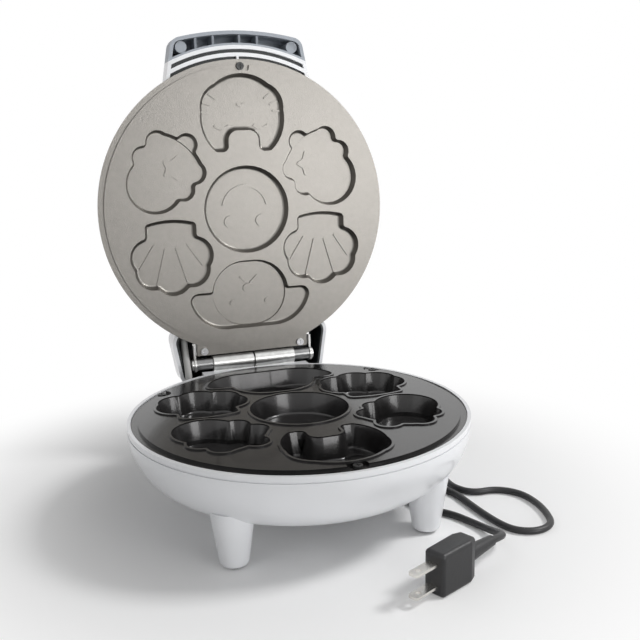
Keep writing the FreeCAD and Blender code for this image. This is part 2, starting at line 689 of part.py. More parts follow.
SHIELD_POSTS = [on_circle(size("shield_post"), angle) for angle in (-90, 30, 150)]
posts, pilots = [], []
for number, (x, y) in enumerate(LOWER_SCREWS, start=1):
    posts.append(cylinder(f"plate_boss_{number}", "boss_r", FLANGE_LOW + " - 38", words(x), words(y), "38"))
    pilots.append(cylinder(f"plate_pilot_{number}", "screw_pilot", "screw_long", words(x), words(y),
                           "face_z - flange_drop - screw_long - 0.5"))
for number, (x, y) in enumerate(SHIELD_POSTS, start=1):
    posts.append(cylinder(f"shield_post_{number}", "boss_r", "lower_shield_z - 16", words(x), words(y), "16"))
    pilots.append(cylinder(f"shield_pilot_{number}", "screw_pilot", "screw_long + 1", words(x), words(y),
                           "lower_shield_z - screw_long"))
posts.append(box("terminal_seat", "26", "16", "6", "- 13", "29", "14"))
inside_bowl = common("base_posts", fuse("base_post_solids", *posts), bowl_solid)
for side, name in ((-1, "left"), (1, "right")):
    pilots.append(cylinder(f"leaf_pilot_{name}", "screw_pilot", "8", side_words(side, "leaf_screw_x"), "100",
                           "leaf_screw_z", along="Y"))
base_shell = cut("base_shell", fuse("base_joined", base_hollow, inside_bowl), *pilots)
node(base_shell, "base_shell")
for number, (x, y) in enumerate(pad_places, start=1):
    node(cylinder(f"foot_pad_{number}", "pad_r", "pad_thick", x, y, "0"), f"foot_pad_{number}")

# ---------------------------------------------------------------- inside the base
for number, (x, y) in enumerate(LOWER_SCREWS, start=1):
    screw(f"lower_plate_screw_{number}", words(x), words(y), "face_z - flange_drop")
WELL_LOW = "face_z - well_deep - well_wall"
ELEMENT_Z = WELL_LOW + " - element_gap - element_r"
lower_ring = bind(doc.addObject("Part::Torus", "lower_ring"), Radius1="element_ring", Radius2="element_r")
place(lower_ring, z=ELEMENT_Z)
PINS = [on_circle(size("element_ring"), angle) for angle in (82, 98)]
lower_pins = [cylinder(f"lower_pin_{number}", "2.2", ELEMENT_Z + " - 38", words(x), words(y), "38")
              for number, (x, y) in enumerate(PINS, start=1)]
node(fuse("lower_element", lower_ring, *lower_pins), "lower_element")

shield = turned("lower_shield_sheet", [
    ("0", "lower_shield_z"),
    ("lower_shield_r", "lower_shield_z"),
    ("lower_shield_r", "lower_shield_z + 4"),
    ("lower_shield_r - sheet_thick", "lower_shield_z + 4"),
    ("lower_shield_r - sheet_thick", "lower_shield_z + sheet_thick"),
    ("0", "lower_shield_z + sheet_thick")])
shield_holes = [cylinder(f"lower_shield_hole_{number}", "screw_hole", "6", words(x), words(y), "lower_shield_z - 2")
                for number, (x, y) in enumerate(SHIELD_POSTS, start=1)]
shield_holes += [cylinder(f"lower_pin_hole_{number}", "3.2", "6", words(x), words(y), "lower_shield_z - 2")
                 for number, (x, y) in enumerate(PINS, start=1)]
node(cut("lower_heat_shield", shield, *shield_holes), "lower_heat_shield")
SHIELD_TOP = "lower_shield_z + sheet_thick"
for number, (x, y) in enumerate(SHIELD_POSTS, start=1):
    screw(f"lower_shield_screw_{number}", words(x), words(y), SHIELD_TOP)
node(cylinder("thermostat", "8", WELL_LOW + " - lower_shield_z - sheet_thick - 0.1", "0", "0", SHIELD_TOP),
     "thermostat")
fuse_body = cylinder("fuse_body", "2", "13", "- 44", "20", WELL_LOW + " - 2.1", along="X")
fuse_saddle = box("fuse_saddle", "7", "4", WELL_LOW + " - lower_shield_z - sheet_thick - 2.1",
                  "- 41", "18", SHIELD_TOP)
node(fuse("thermal_fuse", fuse_body, fuse_saddle), "thermal_fuse")
node(box("terminal_block", "24", "14", "10", "- 12", "30", "20"), "terminal_block")

# ---------------------------------------------------------------- round tubes: cord and wires
TUBE_SHARE = 0.45        # part of the shorter neighbouring run that a bend may use


def tube(label, points, radius):
    """Round tube of straight runs joined by tangent arcs; prints its tightest bend and its volume."""
    points = [Vector(*point) for point in points]
    edges, start, radii = [], points[0], []
    for before, corner, after in zip(points, points[1:], points[2:]):
        back = (before - corner).normalize()
        ahead = (after - corner).normalize()
        half = (math.pi - back.getAngle(ahead)) / 2
        short = TUBE_SHARE * min(before.distanceToPoint(corner), corner.distanceToPoint(after))
        bend = short / math.tan(half)
        leave, rejoin = corner + back * short, corner + ahead * short
        bisector = (back + ahead).normalize()
        centre = corner + bisector * (bend / math.cos(half))
        edges.append(Part.LineSegment(start, leave).toShape())
        edges.append(Part.Arc(leave, centre - bisector * bend, rejoin).toShape())
        radii.append(bend)
        start = rejoin
    edges.append(Part.LineSegment(start, points[-1]).toShape())
    path = Part.Wire(edges)
    first = (points[1] - points[0]).normalize()
    section = Part.Wire(Part.makeCircle(radius, points[0], first))
    solid = path.makePipeShell([section], True, True)
    share = solid.Volume / (math.pi * radius ** 2 * path.Length)
    tightest = min(radii) if radii else 0.0
    print(f"{label}: length {path.Length:.0f}, tightest bend {tightest:.1f}, volume share {share:.4f}")
    return solid


gland_x, gland_y, gland_z = size("gland_x"), size("gland_in"), size("gland_z")
node(shaped("mains_lead", tube("mains_lead", [
    (gland_x, gland_y, gland_z), (gland_x, 64, gland_z), (gland_x, 37, 25), (12, 37, 25)], 2.2)), "mains_lead")
for side, (x, y), name in zip((1, -1), PINS, ("right", "left")):
    node(shaped(f"element_lead_{name}", tube(f"element_lead_{name}", [
        (side * 5, 40, 30), (side * 5, 40, 35), (x, y, 32), (x, y, 38)], 1.2)), f"element_lead_{name}")

# ---------------------------------------------------------------- hinge
HINGE_Z = "face_z + hinge_up"
leaf = box("leaf", "barrel_half + barrel_half", "steel", "face_z + 1 - leaf_low", "- barrel_half", "block_back",
           "leaf_low")
barrel = cylinder("barrel", "barrel_r", "barrel_half + barrel_half", "- barrel_half", "hinge_y", HINGE_Z, along="X")
bracket_tools = [
    cylinder("barrel_bore", "pin_r + pin_play", "pin_half + pin_half", "- pin_half", "hinge_y", HINGE_Z, along="X"),
    box("barrel_slot", "barrel_slit", "20", "20", "- 0.6", "hinge_y - 10", HINGE_Z + " - 7.5")]
for side, name in ((-1, "left"), (1, "right")):
    bracket_tools.append(cylinder(f"leaf_hole_{name}", "screw_hole", "6", side_words(side, "leaf_screw_x"),
                                  "block_back - 1", "leaf_screw_z", along="Y"))
node(cut("base_hinge_bracket", fuse("bracket_solid", leaf, barrel), *bracket_tools), "base_hinge_bracket")


def leaf_screw(label, side):
    """Pan-head screw that holds the leaf to the hinge block, pointing to the front."""
    x = side_words(side, "leaf_screw_x")
    seat = "block_back + steel"
    head = cylinder(label + "_head", "head_r", "head_high", x, seat, "leaf_screw_z", along="Y")
    shank = cylinder(label + "_shank", "screw_r", "leaf_screw_long", x, seat + " - leaf_screw_long",
                     "leaf_screw_z", along="Y")
    slots = [box(label + "_slot_x", "3.4", "0.8", "0.7", x + " - 1.7", seat + " + 0.8", "leaf_screw_z - 0.35"),
             box(label + "_slot_z", "0.7", "0.8", "3.4", x + " - 0.35", seat + " + 0.8", "leaf_screw_z - 1.7")]
    node(cut(label, fuse(label + "_solid", head, shank), *slots), label)


leaf_screw("leaf_screw_left", -1)
leaf_screw("leaf_screw_right", 1)
pin = fuse("hinge_pin", cylinder("pin_shank", "pin_r", "pin_half + pin_half", "- pin_half", "hinge_y", HINGE_Z,
                                 along="X"),
           cylinder("pin_cap", "pin_head", "1.6", "- ear_x - 1.7", "hinge_y", HINGE_Z, along="X"))
node(pin, "hinge_pin")
clip = cut("pin_clip", cylinder("clip_disc", "pin_head", "1.2", "ear_x + 0.1", "hinge_y", HINGE_Z, along="X"),
           cylinder("clip_bore", "pin_r", "4", "ear_x - 1", "hinge_y", HINGE_Z, along="X"))
node(clip, "pin_clip")
for side, name in ((-1, "left"), (1, "right")):
    start = "barrel_half + 0.3" if side > 0 else "- ear_x + steel + 0.3"
    long = "ear_x - steel - 0.3 - barrel_half - 0.3"
    collar = cut(f"hinge_collar_{name}",
                 cylinder(f"collar_{name}_disc", "collar_r", long, start, "hinge_y", HINGE_Z, along="X"),
                 cylinder(f"collar_{name}_bore", "pin_r + pin_play", "pin_half + pin_half", "- pin_half", "hinge_y",
                          HINGE_Z, along="X"))
    node(collar, f"hinge_collar_{name}")
    pad = box(f"stop_pad_{name}", "6", "4.1", "5", side_words(side, "stop_x") + " - 3", "block_back", "53.5")
    node(pad, f"stop_pad_{name}")

strap = box("strap", "ear_x + ear_x", "tongue_screw_y + 2.9 - strap_front", "steel", "- ear_x", "strap_front",
            "face_z + plate_gap + flange_drop + flange_thick")
ears = []
ear_holes = [cylinder("ear_bore", "pin_r + pin_play", "ear_x + ear_x + 4", "- ear_x - 2", "hinge_y", HINGE_Z,
                      along="X")]
for side, name in ((-1, "left"), (1, "right")):
    inner = "ear_x - steel" if side > 0 else "- ear_x"
    ears.append(box(f"ear_arm_{name}", "steel", "hinge_y - 97", "4.7", inner, "97", "69"))
    ears.append(cylinder(f"ear_eye_{name}", "ear_r", "steel", inner, "hinge_y", HINGE_Z, along="X"))
for number, (x, y) in enumerate(UPPER_SCREWS[1:], start=1):
    ear_holes.append(cylinder(f"strap_hole_{number}", "screw_hole", "6", words(x), words(y), "70"))
node(cut("lid_hinge_bracket", fuse("lid_bracket_solid", strap, *ears), *ear_holes), "lid_hinge_bracket", lid=True)

# ---------------------------------------------------------------- lid shell
LID_LOW = "face_z + plate_gap + flange_drop + flange_thick"
dome_solid = turned("dome_solid", [
    ("0", LID_LOW),
    ("shell_r", LID_LOW),
    ("shell_r", "dome_start"),
    ("shell_r - dome_in", "dome_start + dome_rise", "dome_corner", 1),
    ("0", "dome_start + dome_rise + dome_crown", "axis", 1)])
dome_space = turned("dome_space", [
    ("0", LID_LOW + " - 1"),
    ("shell_r - wall", LID_LOW + " - 1"),
    ("shell_r - wall", "dome_start"),
    ("shell_r - dome_in - dome_join_in", "dome_start + dome_rise - dome_join_up", "dome_corner - wall", 1),
    ("0", "dome_start + dome_rise + dome_crown - wall", "axis", 1)])


def grip_plan():
    """Flat outline of the handle: straight sides and a bowed front, with round corners."""
    root, root_y, half = size("grip_root"), -size("grip_root_y"), size("grip_half")
    corner_y, front = -size("grip_corner_y"), -size("grip_front")
    back_left, back_right = Vector(-root, root_y, 0), Vector(root, root_y, 0)
    left, right = Vector(-half, corner_y, 0), Vector(half, corner_y, 0)
    bow = Part.Arc(left, Vector(0, front, 0), right).toShape()
    sides = [Part.LineSegment(back_left, left), Part.LineSegment(right, back_right),
             Part.LineSegment(back_right, back_left)]
    face = Part.Face(Part.Wire([sides[0].toShape(), bow, sides[1].toShape(), sides[2].toShape()]))
    return Part.Face(face.makeOffset2D(-size("grip_turn")).makeOffset2D(size("grip_turn")).Wires[0])


def hood_plan():
    """Flat outline of the hinge hood."""
    root, half, front, back = size("hood_root"), size("hood_half"), size("hood_root_y"), size("hood_back")
    corners = [Vector(root, front, 0), Vector(half, back, 0), Vector(-half, back, 0), Vector(-root, front, 0)]
    face = Part.Face(Part.makePolygon(corners + corners[:1]))
    return Part.Face(face.makeOffset2D(-size("hood_turn")).makeOffset2D(size("hood_turn")).Wires[0])


def raised(name, face, inset, low, high, edge_round=0.0):
    """Prism on an outline drawn in by inset, with its upper edges rounded."""
    outline = Part.Face(face.makeOffset2D(-inset).Wires[0]) if inset else face
    prism = outline.extrude(Vector(0, 0, high - low))
    prism.translate(Vector(0, 0, low))
    if edge_round:
        top = [side for side in prism.Faces if abs(side.CenterOfMass.z - high) < 1e-6][0]
        prism = prism.makeFillet(edge_round, top.Edges)
    return shaped(name, prism)


lid_low, wall = size(LID_LOW), size("wall")
grip_block = raised("grip_block", grip_plan(), 0.0, lid_low, size("grip_top"), size("grip_round"))
grip_space = raised("grip_space", grip_plan(), wall, lid_low - 1, size("grip_top") - wall, size("grip_round") - wall)
hood_block = raised("hood_block", hood_plan(), 0.0, lid_low, size("hood_top"), size("hood_round"))
hood_space = raised("hood_space", hood_plan(), wall, lid_low - 1, size("hood_top") - wall, size("hood_round") - wall)
liner_inset = wall + size("liner_thick")
hood_deep = raised("hood_deep", hood_plan(), liner_inset, lid_low - 1, size("hood_top") - liner_inset,
                   size("hood_round") - liner_inset)


def ring(name, inner, outer, low, high):
    """Flat ring about the axis between two heights."""
    return cut(name, cylinder(name + "_out", outer, f"{high} - " + low.replace("+", "-"), z=low),
               cylinder(name + "_in", inner, "60", z="50"))


fin_end = cylinder("fin_end", "fin_two_out", "60", z="50")
shell_outer = fuse("shell_outer", dome_solid, common("grip_stub", grip_block, fin_end), hood_block)
grip_hollow = cut("grip_hollow", grip_space, dome_solid)
hood_hollow = cut("hood_hollow", hood_space, dome_solid)
shell_hollow = cut("shell_hollow", shell_outer, dome_space, grip_hollow, hood_hollow)
fins = [ring("fin_one", "fin_one_in", "fin_one_out", LID_LOW, "grip_top"),
        ring("fin_two", "fin_two_in", "fin_two_out", LID_LOW, "grip_top")]
fins_in_grip = common("fins_in_grip", fuse("fin_pair", *fins), grip_space)
key = box("slot_key", "1.6", "3", "liner_drop", "- 1.3", "- fin_one_in - 0.3", LID_LOW)

LAMPS = [(-1, "power_lamp"), (1, "ready_lamp")]
lid_posts, lid_pilots = [], []
for number, (x, y) in enumerate(UPPER_SCREWS, start=1):
    low = LID_LOW if number == 1 else LID_LOW + " + steel"
    high = "grip_top" if number == 1 else "hood_top - wall"
    lid_posts.append(cylinder(f"lid_boss_{number}", "boss_r", f"{high} - " + low.replace("+", "-"), words(x),
                              words(y), low))
    lid_pilots.append(cylinder(f"lid_pilot_{number}", "screw_pilot", "screw_long", words(x), words(y),
                               "face_z + plate_gap + flange_drop + 0.5"))
for number, (x, y) in enumerate(SHIELD_POSTS, start=1):
    lid_posts.append(cylinder(f"lid_post_{number}", "boss_r", "21", words(x), words(y),
                              "upper_shield_z + sheet_thick"))
    lid_pilots.append(cylinder(f"lid_post_pilot_{number}", "screw_pilot", "screw_long", words(x), words(y),
                               "upper_shield_z + 0.5"))
for side, name in LAMPS:
    lid_pilots.append(cylinder(name + "_hole", "lamp_r + 0.1", "12", side_words(side, "lamp_x"), "- lamp_y", "96"))
lid_pilots.append(cylinder("lid_lead_hole", "2.6", "14", "- 50", "84", "80", along="Y"))
LEAD_RUN = [(-50, 88, 50), (-50, 101, 50), (-50, 107, 58), (-50, 108.5, 70), (-50, 119, 82), (-50, 121.3, 93.2)]
LEAD_PLAY = 0.7
past_end = (-50, 121.7, 95.2)
lead_space = tube("lead_space", LEAD_RUN[2:-1] + [past_end], 2.5 + LEAD_PLAY)
lead_space.transformShape(lid_pose.inverse().toMatrix())
lead_space = shaped("lid_lead_space", lead_space)
lid_pilots.append(lead_space)
lid_pilots.append(box("strap_notch", "ear_x + ear_x + 1", "9", "steel + 0.2", "- ear_x - 0.5", "96", LID_LOW))
inside_lid = common("lid_posts", fuse("lid_post_solids", *lid_posts), fuse("lid_envelope", dome_solid, hood_block))
lid_joined = fuse("lid_joined", shell_hollow, fins_in_grip, key, inside_lid)
node(cut("lid_shell", lid_joined, *lid_pilots), "lid_shell", lid=True)

# ---------------------------------------------------------------- handle, liners, lamps
LINER_LOW = LID_LOW + " + liner_drop"
for name, inner, outer in (("slot_liner_inner", "shell_r", "fin_one_in"),
                           ("slot_liner_outer", "fin_one_out", "fin_two_in")):
    strip = common(name, ring(name + "_ring", inner, outer, LINER_LOW, "face_z + 9.8"), grip_space)
    node(strip, name, lid=True)
liner = cut("hood_liner", cut("hood_skin", hood_space, hood_deep), dome_solid, lead_space,
            box("liner_floor", "140", "60", "5", "- 70", "80", LID_LOW + " - 5"),
            *[cylinder(f"liner_hole_{number}", "boss_r + 0.2", "40", words(x), words(y), "70")
              for number, (x, y) in enumerate(UPPER_SCREWS[1:], start=1)])
node(liner, "hood_liner", lid=True)

grip_inner = cut("grip_inner", grip_space, cylinder("grip_wall", "fin_two_out + 1.4", "60", z="50"))
ribs = [box(f"grip_rib_{number}", "rib_thick", "14", "grip_top - rib_drop - 2.4 - " + LID_LOW.replace("+", "-"),
            words(x), "- 126", LID_LOW + " + rib_drop") for number, x in enumerate((-29.8, -17.3, 1.7, 14.7), start=1)]
bosses = [cylinder(f"grip_boss_{name}", "boss_r", "grip_top - 3.4 - " + LID_LOW.replace("+", "-"),
                   words(side * 40.0), "- 113.4", LID_LOW + " + 2") for side, name in ((-1, "left"), (1, "right"))]
in_grip = common("in_grip", fuse("grip_ribs", *ribs, *bosses), grip_inner)
grip_skin = cut("grip_skin", cut("grip_tip", grip_block, cylinder("grip_cut", "fin_two_out", "60", z="50")),
                grip_inner)
node(fuse("handle_grip", grip_skin, in_grip), "handle_grip", lid=True)

for number, (x, y) in enumerate(UPPER_SCREWS, start=1):
    screw(f"upper_plate_screw_{number}", words(x), words(y), "face_z + plate_gap + flange_drop", down=False, lid=True)
UPPER_WELL = "face_z + plate_gap + well_shallow + well_wall"
upper_ring = bind(doc.addObject("Part::Torus", "upper_ring"), Radius1="element_ring", Radius2="element_r")
place(upper_ring, z=UPPER_WELL + " + element_gap + element_r")
upper_pins = [cylinder(f"upper_pin_{number}", "2.2", "8", words(x), words(y), UPPER_WELL + " + element_r")
              for number, (x, y) in enumerate(PINS, start=1)]
node(fuse("upper_element", upper_ring, *upper_pins), "upper_element", lid=True)
upper_sheet = turned("upper_shield_sheet", [
    ("0", "upper_shield_z"),
    ("upper_shield_r - sheet_thick", "upper_shield_z"),
    ("upper_shield_r - sheet_thick", "upper_shield_z - 4"),
    ("upper_shield_r", "upper_shield_z - 4"),
    ("upper_shield_r", "upper_shield_z + sheet_thick"),
    ("0", "upper_shield_z + sheet_thick")])
upper_holes = [cylinder(f"upper_shield_hole_{number}", "screw_hole", "6", words(x), words(y), "upper_shield_z - 2")
               for number, (x, y) in enumerate(SHIELD_POSTS, start=1)]
upper_holes += [cylinder(f"upper_pin_hole_{number}", "3.2", "6", words(x), words(y), "upper_shield_z - 2")
                for number, (x, y) in enumerate(PINS, start=1)]
node(cut("upper_heat_shield", upper_sheet, *upper_holes), "upper_heat_shield", lid=True)
for number, (x, y) in enumerate(SHIELD_POSTS, start=1):
    screw(f"upper_shield_screw_{number}", words(x), words(y), "upper_shield_z", down=False, lid=True)
for side, name in LAMPS:
    x = side_words(side, "lamp_x")
    stem = cylinder(name + "_stem", "lamp_r", "6", x, "- lamp_y", "97")
    lens = cone(name + "_lens", "lamp_r", "lamp_r - 1.2", "1", x, "- lamp_y", "103")
    node(fuse(name, stem, lens), name, lid=True)
board_posts = [cylinder(f"board_post_{name}", "2", "6", words(side * 18.0), "- lamp_y", "96")
               for side, name in ((-1, "left"), (1, "right"))]
board_posts = common("board_posts", fuse("board_post_pair", *board_posts), dome_space)
board_hole = cylinder("board_hole", "boss_r + 0.2", "10", words(SHIELD_POSTS[0][0]), words(SHIELD_POSTS[0][1]), "92")
board_sheet = cut("board_sheet", box("board_blank", "42", "14", "1.6", "- 21", "- lamp_y - 7", "95.4"), board_hole)
node(fuse("lamp_board", board_sheet, board_posts), "lamp_board", lid=True)
node(shaped("upper_lead", tube("upper_lead", [
    (-50, 87.4, 80), (-46, 76, 87), (-30, 64, 93), (-8.07, 57.44, 94), (-8.07, 57.44, 86.9)], 1.6)),
    "upper_lead", lid=True)
node(shaped("lid_lead", tube("lid_lead", LEAD_RUN, 2.5)), "lid_lead")

# ---------------------------------------------------------------- cord, coil and plug
gland = fuse("cord_gland", cylinder("gland_body", "gland_r", "12", "gland_x", "gland_in", "gland_z", along="Y"),
             cone("gland_tail", "gland_r", "cord_r + 1.2", "gland_out - gland_in - 12", "gland_x", "gland_in + 12",
                  "gland_z", along="Y"))
node(gland, "cord_gland")
floor_z = size("cord_r")
REAR_RUN = [(22, 111, 32), (22, 127, 31), (23, 144, 24), (29, 159, 13), (41, 169, 4.5), (56, 166, floor_z),
            (81, 153.8, floor_z), (107, 138.8, floor_z)]
SIDE_RUN = [(119, 118), (118.5, 96), (116, 72), (112, 48), (107.5, 24), (103.5, 2), (102, -15), (110, -28),
            (127, -28), (139, -40), (140.5, -58), (137.3, -74), (132.2, -86.2), (120, -91.3), (107.8, -86.2),
            (102.7, -74), (100, -50), (99.3, -26), (94.2, -13.8), (82, -8.7), (69.8, -13.8), (64.7, -26),
            (69.8, -38.2), (82, -50.4)]
SIDE_RUN = [(x, y, floor_z) for x, y in SIDE_RUN]
SIDE_RUN += [(88.5, -66, floor_z), (92, -81, 3.4), (92, -94, 7), (87.5, -103.5, 11), (77, -108.6, 12.5)]
coil_high = 2 * size("coil_layers") * size("cord_r") + 0.4
coil_half = 4.5
coil_low, coil_top = size("coil_mid - 4.5"), size("coil_mid + 4.5")
coil = Part.makeCylinder(coil_top, coil_high, Vector(size("coil_x"), size("coil_y"), 0))
coil = coil.cut(Part.makeCylinder(coil_low, coil_high, Vector(size("coil_x"), size("coil_y"), 0)))
coil = coil.makeFillet(2.0, [edge for edge in coil.Edges if len(edge.Vertexes) == 1])
node(shaped("cord_rear", tube("cord_rear", REAR_RUN, size("cord_r"))), "cord_rear")
node(shaped("cord_coil", coil), "cord_coil")
node(shaped("cord_front", tube("cord_front", SIDE_RUN, size("cord_r"))), "cord_front")


# the plug lies on its narrow side, its blades one above the other
PLUG_MID = 12.5
plug_pose = FreeCAD.Placement(Vector(size("plug_x"), size("plug_y"), 0), FreeCAD.Rotation(Z_AXIS, size("plug_turn")))
plug_long, plug_half, plug_high = size("plug_long"), size("plug_wide") / 2, size("plug_high")
plan = [Vector(0, -plug_half + 2.2, 0), Vector(6, -plug_half, 0), Vector(plug_long, -plug_half + 0.6, 0),
        Vector(plug_long, plug_half - 0.6, 0), Vector(6, plug_half, 0), Vector(0, plug_half - 2.2, 0)]
plug = Part.Face(Part.makePolygon(plan + plan[:1])).extrude(Vector(0, 0, plug_high))
plug = plug.makeFillet(2.4, plug.Edges)
relief = Part.makeCone(size("cord_r") + 0.9, size("cord_r") + 2.6, size("relief_long"),
                       Vector(-size("relief_long"), 0, PLUG_MID), X_AXIS)
blades = []
for name, side in (("plug_blade_low", -1), ("plug_blade_high", 1)):
    middle = PLUG_MID + side * size("blade_apart") / 2
    blade = Part.makeBox(size("blade_long"), size("blade_wide"), size("blade_thick"),
                         Vector(plug_long, -size("blade_wide") / 2, middle - size("blade_thick") / 2))
    tip = [edge for edge in blade.Edges
           if all(abs(corner.X - plug_long - size("blade_long")) < 1e-6 for corner in edge.Vertexes)
           and abs(edge.Vertexes[0].Z - edge.Vertexes[1].Z) > 1e-6]
    blade = blade.makeFillet(1.8, tip)
    blade = blade.cut(Part.makeCylinder(1.6, 6, Vector(plug_long + 12.5, 0, middle - 3)))
    blades.append((blade, name))
for shape, name in [(relief, "plug_relief"), (plug, "plug_body")] + blades:
    item = node(shaped(name, shape), name)
    item.Placement = plug_pose

# ---------------------------------------------------------------- check and export
doc.recompute()
for item in doc.Objects:
    if hasattr(item, "Shape") and (item.Shape.isNull() or "Invalid" in item.State or "Error" in item.State):
        raise RuntimeError(f"{item.Name} did not build: {item.State}")
CORD_LABELS = {"cord_rear", "cord_coil", "cord_front", "plug_relief", "plug_body", "plug_blade_low",
               "plug_blade_high"}
low_y = min(item.Shape.optimalBoundingBox().YMin for item in nodes if item.Label not in CORD_LABELS)
high_y = max(item.Shape.optimalBoundingBox().YMax for item in nodes if item.Label not in CORD_LABELS)
# the shared frame's origin is on the floor under the middle of the whole maker as it stands open
to_origin = Vector(0, -round((low_y + high_y) / 2, 2), 0)
print("frame shift", to_origin)
os.makedirs("parts", exist_ok=True)
for item in nodes:
    if item.Shape.isNull() or not item.Shape.isValid() or len(item.Shape.Solids) != 1:
        raise RuntimeError(f"{item.Label} is not one valid solid")
    bounds = item.Shape.optimalBoundingBox()
    print(f"{item.Label:24s} {item.Shape.Volume:9.0f} x {bounds.XMin:.1f}..{bounds.XMax:.1f} "
          f"y {bounds.YMin:.1f}..{bounds.YMax:.1f} z {bounds.ZMin:.1f}..{bounds.ZMax:.1f}")
    placed = item.Shape.copy()
    placed.translate(to_origin)
    placed.exportStep(f"parts/{item.Label}.step")
print(len(nodes), "nodes")
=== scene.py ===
import bpy
import json
import math
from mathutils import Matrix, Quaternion, Vector


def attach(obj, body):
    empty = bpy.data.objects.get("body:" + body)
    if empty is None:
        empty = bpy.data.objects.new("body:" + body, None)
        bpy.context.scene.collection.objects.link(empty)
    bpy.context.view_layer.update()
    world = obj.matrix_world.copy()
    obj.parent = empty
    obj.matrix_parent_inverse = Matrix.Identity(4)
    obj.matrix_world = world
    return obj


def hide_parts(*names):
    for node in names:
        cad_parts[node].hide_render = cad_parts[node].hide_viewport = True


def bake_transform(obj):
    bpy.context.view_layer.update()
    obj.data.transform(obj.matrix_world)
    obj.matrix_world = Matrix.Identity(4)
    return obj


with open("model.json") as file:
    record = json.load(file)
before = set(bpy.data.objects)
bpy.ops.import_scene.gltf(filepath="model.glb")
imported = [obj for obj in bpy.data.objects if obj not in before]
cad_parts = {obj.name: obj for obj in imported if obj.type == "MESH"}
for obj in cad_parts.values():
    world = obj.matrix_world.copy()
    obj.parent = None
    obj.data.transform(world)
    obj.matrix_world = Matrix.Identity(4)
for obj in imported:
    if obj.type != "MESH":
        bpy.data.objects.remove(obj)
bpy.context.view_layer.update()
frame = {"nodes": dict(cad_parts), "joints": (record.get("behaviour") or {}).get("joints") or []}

nodes = frame["nodes"]
bpy.ops.object.select_all(action="DESELECT")

# ---------------------------------------------------------------- camera
# A plain camera stands to the left of the maker and a little above its open lid, and looks across both
# plates. The lens is a short portrait one. Places are given from the base's own axis, where the floor meets it.
HINGE_BEHIND_AXIS = 0.1115
base_axis = Vector((0, frame["joints"][0]["pos_m"][1] - HINGE_BEHIND_AXIS, 0))
eye = base_axis + Vector((-0.161305, -0.509615, 0.248216))
look_right, look_down, lean = math.radians(19.088), math.radians(13.078), math.radians(-1.202)
ahead = Vector((math.sin(look_right) * math.cos(look_down), math.cos(look_right) * math.cos(look_down),
                -math.sin(look_down)))
bpy.ops.object.camera_add(location=eye)
camera = bpy.context.object
camera.rotation_mode = "QUATERNION"
camera.rotation_quaternion = ahead.to_track_quat("-Z", "Y") @ Quaternion((0, 0, 1), lean)
camera.data.sensor_width = 36.0
camera.data.lens = 49.72275
camera.data.clip_start, camera.data.clip_end = 0.02, 20.0
bpy.context.scene.camera = camera
bpy.context.scene.view_settings.view_transform = "Standard"

# ---------------------------------------------------------------- mains cord
# Round two-core cord in soft black PVC. It leaves the gland at the back, winds into a neat coil behind
# the base and comes forward beside it, crosses over itself in one open loop and ends in the plug.
CORD_RADIUS = 0.0022
COIL_MIDDLE = base_axis + Vector((0.095, 0.118, 0))
COIL_SWEEP, TURN_STEP = 780, 30
COIL_START = 60
UPPER_LAYER_FROM = 300
LOWER_REACH, UPPER_REACH = 0.024, 0.0217
LOWER_HEIGHT, UPPER_HEIGHT = 0.0022, 0.0069
SPREAD_FROM, SPREAD_OVER, SPREAD = 420, 240, 0.0045
route = [(22, 111, 32), (22, 127, 31), (23, 144, 24), (29, 159, 13), (41, 169, 4.5), (56, 166, 2.2),
         (81, 153.8, 2.2)]
route = [base_axis + Vector(point) / 1000 for point in route]
for turned in range(0, COIL_SWEEP + 1, TURN_STEP):
    angle = math.radians(COIL_START - turned)
    if turned < UPPER_LAYER_FROM:
        reach, height = LOWER_REACH, LOWER_HEIGHT
    else:
        outward = min(1.0, max(0.0, (turned - SPREAD_FROM) / SPREAD_OVER))
        reach, height = UPPER_REACH + SPREAD * outward, UPPER_HEIGHT
    route.append(COIL_MIDDLE + Vector((reach * math.cos(angle), reach * math.sin(angle), height)))
run_forward = [(118.5, 96, 2.4), (116, 72, 2.2), (112, 48, 2.2), (107.5, 24, 2.2), (103.5, 2, 2.2), (102, -15, 2.2),
               (110, -28, 2.2), (127, -28, 2.2), (139, -40, 2.2), (140.5, -58, 2.2), (137.3, -74, 2.2),
               (132.2, -86.2, 2.2), (120, -91.3, 2.2), (107.8, -86.2, 2.2), (102.7, -74, 2.2), (100, -50, 2.2),
               (99.3, -26, 2.2), (94.2, -13.8, 2.2), (82, -8.7, 2.2), (69.8, -13.8, 2.2), (64.7, -26, 2.2),
               (69.8, -38.2, 2.2), (82, -50.4, 2.2), (88.5, -66, 2.2), (92, -81, 3.4), (92, -94, 7),
               (87.5, -103.5, 11), (77, -108.6, 12.5)]
route += [base_axis + Vector(point) / 1000 for point in run_forward]


def nurbs_tube(name, points, radius):
    """Bevelled curve of one open NURBS spline along the points."""
    curve = bpy.data.curves.new(name, "CURVE")
    curve.dimensions = "3D"
    spline = curve.splines.new("NURBS")
    spline.points.add(len(points) - 1)
    for control, point in zip(spline.points, points):
        control.co = (*point, 1.0)
    spline.order_u = 3
    spline.use_endpoint_u = True
    spline.resolution_u = 8
    curve.bevel_depth = radius
    curve.bevel_resolution = 5
    curve.use_fill_caps = True
    made = bpy.data.objects.new(name, curve)
    bpy.context.collection.objects.link(made)
    return made


